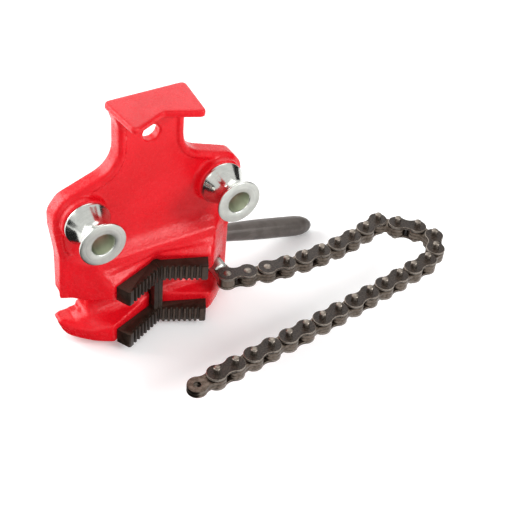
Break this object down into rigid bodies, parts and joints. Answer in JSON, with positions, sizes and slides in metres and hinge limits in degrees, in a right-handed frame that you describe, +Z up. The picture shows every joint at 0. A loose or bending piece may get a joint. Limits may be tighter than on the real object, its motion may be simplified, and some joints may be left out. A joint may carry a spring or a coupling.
{
  "type": "chain pipe vise",
  "caption": "Bench chain pipe vise: cast body with pipe rest, toothed vee jaws, bender spools, and a leaf chain that hooks in a slot and is drawn tight by a screw with a handle nut.",
  "frame": {"origin": "on the casting's flat back, midway between the two bench bolts", "axes": "+X to the right seen from the front, +Y out of the back into the bench, +Z up, towards the pipe rest"},
  "size_m": [0.3024, 0.1721, 0.1919],
  "materials": {
    "red_paint": "gloss over cast texture",
    "zinc_plate": "bright zinc plate",
    "jaw_black_oxide": "black oxide, oiled",
    "chain_steel": "dark, oiled",
    "leaf_steel": "dark with worn edges",
    "forged_steel": "forged, satin",
    "black_screw": "black oxide",
    "pin_steel": "bright"
  },
  "bodies": {
    "body": {"casting": "red_paint", "jaw_left": "jaw_black_oxide", "jaw_right": "jaw_black_oxide", "jaw_screw_left_lower": "black_screw", "jaw_screw_left_upper": "black_screw", "jaw_screw_right_lower": "black_screw", "jaw_screw_right_upper": "black_screw", "bender_spool_left": "zinc_plate", "bender_spool_right": "zinc_plate", "thrust_washer": "zinc_plate", "guide_pin": "pin_steel"},
    "screw": {"chain_screw": "zinc_plate", "stop_pin": "pin_steel"},
    "handle": {"handle_nut": "forged_steel"},
    "link_01": {"chain_outer_link_01": "chain_steel"},
    "link_02": {"chain_leaf_pack_01": "leaf_steel"},
    "link_03": {"chain_outer_link_02": "chain_steel"},
    "link_04": {"chain_leaf_pack_02": "leaf_steel"},
    "link_05": {"chain_outer_link_03": "chain_steel"},
    "link_06": {"chain_leaf_pack_03": "leaf_steel"},
    "link_07": {"chain_outer_link_04": "chain_steel"},
    "link_08": {"chain_leaf_pack_04": "leaf_steel"},
    "link_09": {"chain_outer_link_05": "chain_steel"},
    "link_10": {"chain_leaf_pack_05": "leaf_steel"},
    "link_11": {"chain_outer_link_06": "chain_steel"},
    "link_12": {"chain_leaf_pack_06": "leaf_steel"},
    "link_13": {"chain_outer_link_07": "chain_steel"},
    "link_14": {"chain_leaf_pack_07": "leaf_steel"},
    "link_15": {"chain_outer_link_08": "chain_steel"},
    "link_16": {"chain_leaf_pack_08": "leaf_steel"},
    "link_17": {"chain_outer_link_09": "chain_steel"},
    "link_18": {"chain_leaf_pack_09": "leaf_steel"},
    "link_19": {"chain_outer_link_10": "chain_steel"},
    "link_20": {"chain_leaf_pack_10": "leaf_steel"},
    "link_21": {"chain_outer_link_11": "chain_steel"},
    "link_22": {"chain_leaf_pack_11": "leaf_steel"},
    "link_23": {"chain_outer_link_12": "chain_steel"},
    "link_24": {"chain_leaf_pack_12": "leaf_steel"},
    "link_25": {"chain_outer_link_13": "chain_steel"},
    "link_26": {"chain_leaf_pack_13": "leaf_steel"},
    "link_27": {"chain_outer_link_14": "chain_steel"},
    "link_28": {"chain_leaf_pack_14": "leaf_steel"}
  },
  "joints": [
    {"name": "handle_turn", "type": "hinge", "parent": "body", "child": "handle", "pos_m": [0.052, 0.01785, -0.078], "axis": [0, 1, 0], "range_deg": [-1080, 1080]},
    {"name": "screw_draw", "type": "slide", "parent": "body", "child": "screw", "axis": [0, 1, 0], "range_m": [-0.00763, 0.00763]},
    {"name": "chain_pin_01", "type": "hinge", "parent": "screw", "child": "link_01", "pos_m": [0.052, -0.0375, -0.078], "axis": [0, 0, 1], "range_deg": [-55, 36]},
    {"name": "chain_pin_02", "type": "hinge", "parent": "link_01", "child": "link_02", "pos_m": [0.0674, -0.04134, -0.078], "axis": [0, 0, -1], "range_deg": [-40, 47]},
    {"name": "chain_pin_03", "type": "hinge", "parent": "link_02", "child": "link_03", "pos_m": [0.08303, -0.04415, -0.078], "axis": [0, 0, 1], "range_deg": [-41, 54]},
    {"name": "chain_pin_04", "type": "hinge", "parent": "link_03", "child": "link_04", "pos_m": [0.0988, -0.04592, -0.078], "axis": [0, 0, -1], "range_deg": [-55, 37]},
    {"name": "chain_pin_05", "type": "hinge", "parent": "link_04", "child": "link_05", "pos_m": [0.11466, -0.04664, -0.078], "axis": [0, 0, 1], "range_deg": [-33, 55]},
    {"name": "chain_pin_06", "type": "hinge", "parent": "link_05", "child": "link_06", "pos_m": [0.13053, -0.04631, -0.078], "axis": [0, 0, -1], "range_deg": [-55, 31]},
    {"name": "chain_pin_07", "type": "hinge", "parent": "link_06", "child": "link_07", "pos_m": [0.14635, -0.04493, -0.078], "axis": [0, 0, 1], "range_deg": [-27, 55]},
    {"name": "chain_pin_08", "type": "hinge", "parent": "link_07", "child": "link_08", "pos_m": [0.16204, -0.0425, -0.078], "axis": [0, 0, -1], "range_deg": [-55, 25]},
    {"name": "chain_pin_09", "type": "hinge", "parent": "link_08", "child": "link_09", "pos_m": [0.17753, -0.03903, -0.078], "axis": [0, 0, 1], "range_deg": [-23, 55]},
    {"name": "chain_pin_10", "type": "hinge", "parent": "link_09", "child": "link_10", "pos_m": [0.19276, -0.03455, -0.078], "axis": [0, 0, -1], "range_deg": [-55, 17]},
    {"name": "chain_pin_11", "type": "hinge", "parent": "link_10", "child": "link_11", "pos_m": [0.2047, -0.04501, -0.078], "axis": [0, 0, 1], "range_deg": [-19, 55]},
    {"name": "chain_pin_12", "type": "hinge", "parent": "link_11", "child": "link_12", "pos_m": [0.21639, -0.05575, -0.078], "axis": [0, 0, -1], "range_deg": [-55, 17]},
    {"name": "chain_pin_13", "type": "hinge", "parent": "link_12", "child": "link_13", "pos_m": [0.22184, -0.07066, -0.078], "axis": [0, 0, 1], "range_deg": [-17, 55]},
    {"name": "chain_pin_14", "type": "hinge", "parent": "link_13", "child": "link_14", "pos_m": [0.21304, -0.08387, -0.078], "axis": [0, 0, -1], "range_deg": [-55, 19]},
    {"name": "chain_pin_15", "type": "hinge", "parent": "link_14", "child": "link_15", "pos_m": [0.19912, -0.09152, -0.078], "axis": [0, 0, 1], "range_deg": [-19, 55]},
    {"name": "chain_pin_16", "type": "hinge", "parent": "link_15", "child": "link_16", "pos_m": [0.1835, -0.0943, -0.078], "axis": [0, 0, -1], "range_deg": [-55, 23]},
    {"name": "chain_pin_17", "type": "hinge", "parent": "link_16", "child": "link_17", "pos_m": [0.16785, -0.097, -0.078], "axis": [0, 0, 1], "range_deg": [-25, 55]},
    {"name": "chain_pin_18", "type": "hinge", "parent": "link_17", "child": "link_18", "pos_m": [0.15219, -0.09962, -0.078], "axis": [0, 0, -1], "range_deg": [-55, 27]},
    {"name": "chain_pin_19", "type": "hinge", "parent": "link_18", "child": "link_19", "pos_m": [0.13652, -0.10216, -0.078], "axis": [0, 0, 1], "range_deg": [-29, 55]},
    {"name": "chain_pin_20", "type": "hinge", "parent": "link_19", "child": "link_20", "pos_m": [0.12084, -0.10462, -0.078], "axis": [0, 0, -1], "range_deg": [-55, 33]},
    {"name": "chain_pin_21", "type": "hinge", "parent": "link_20", "child": "link_21", "pos_m": [0.10514, -0.10699, -0.078], "axis": [0, 0, 1], "range_deg": [-39, 55]},
    {"name": "chain_pin_22", "type": "hinge", "parent": "link_21", "child": "link_22", "pos_m": [0.08944, -0.10928, -0.078], "axis": [0, 0, -1], "range_deg": [-55, 53]},
    {"name": "chain_pin_23", "type": "hinge", "parent": "link_22", "child": "link_23", "pos_m": [0.07371, -0.11149, -0.078], "axis": [0, 0, 1], "range_deg": [-55, 55]},
    {"name": "chain_pin_24", "type": "hinge", "parent": "link_23", "child": "link_24", "pos_m": [0.05798, -0.11362, -0.078], "axis": [0, 0, -1], "range_deg": [-55, 55]},
    {"name": "chain_pin_25", "type": "hinge", "parent": "link_24", "child": "link_25", "pos_m": [0.04224, -0.11566, -0.078], "axis": [0, 0, 1], "range_deg": [-55, 55]},
    {"name": "chain_pin_26", "type": "hinge", "parent": "link_25", "child": "link_26", "pos_m": [0.02649, -0.11763, -0.078], "axis": [0, 0, -1], "range_deg": [-55, 55]},
    {"name": "chain_pin_27", "type": "hinge", "parent": "link_26", "child": "link_27", "pos_m": [0.01072, -0.11951, -0.078], "axis": [0, 0, 1], "range_deg": [-55, 55]},
    {"name": "chain_pin_28", "type": "hinge", "parent": "link_27", "child": "link_28", "pos_m": [-0.00505, -0.1213, -0.078], "axis": [0, 0, -1], "range_deg": [-55, 55]}
  ],
  "couplings": [
    {"joint": "screw_draw", "follows": "handle_turn", "m_per_rad": -0.00040425}
  ]
}
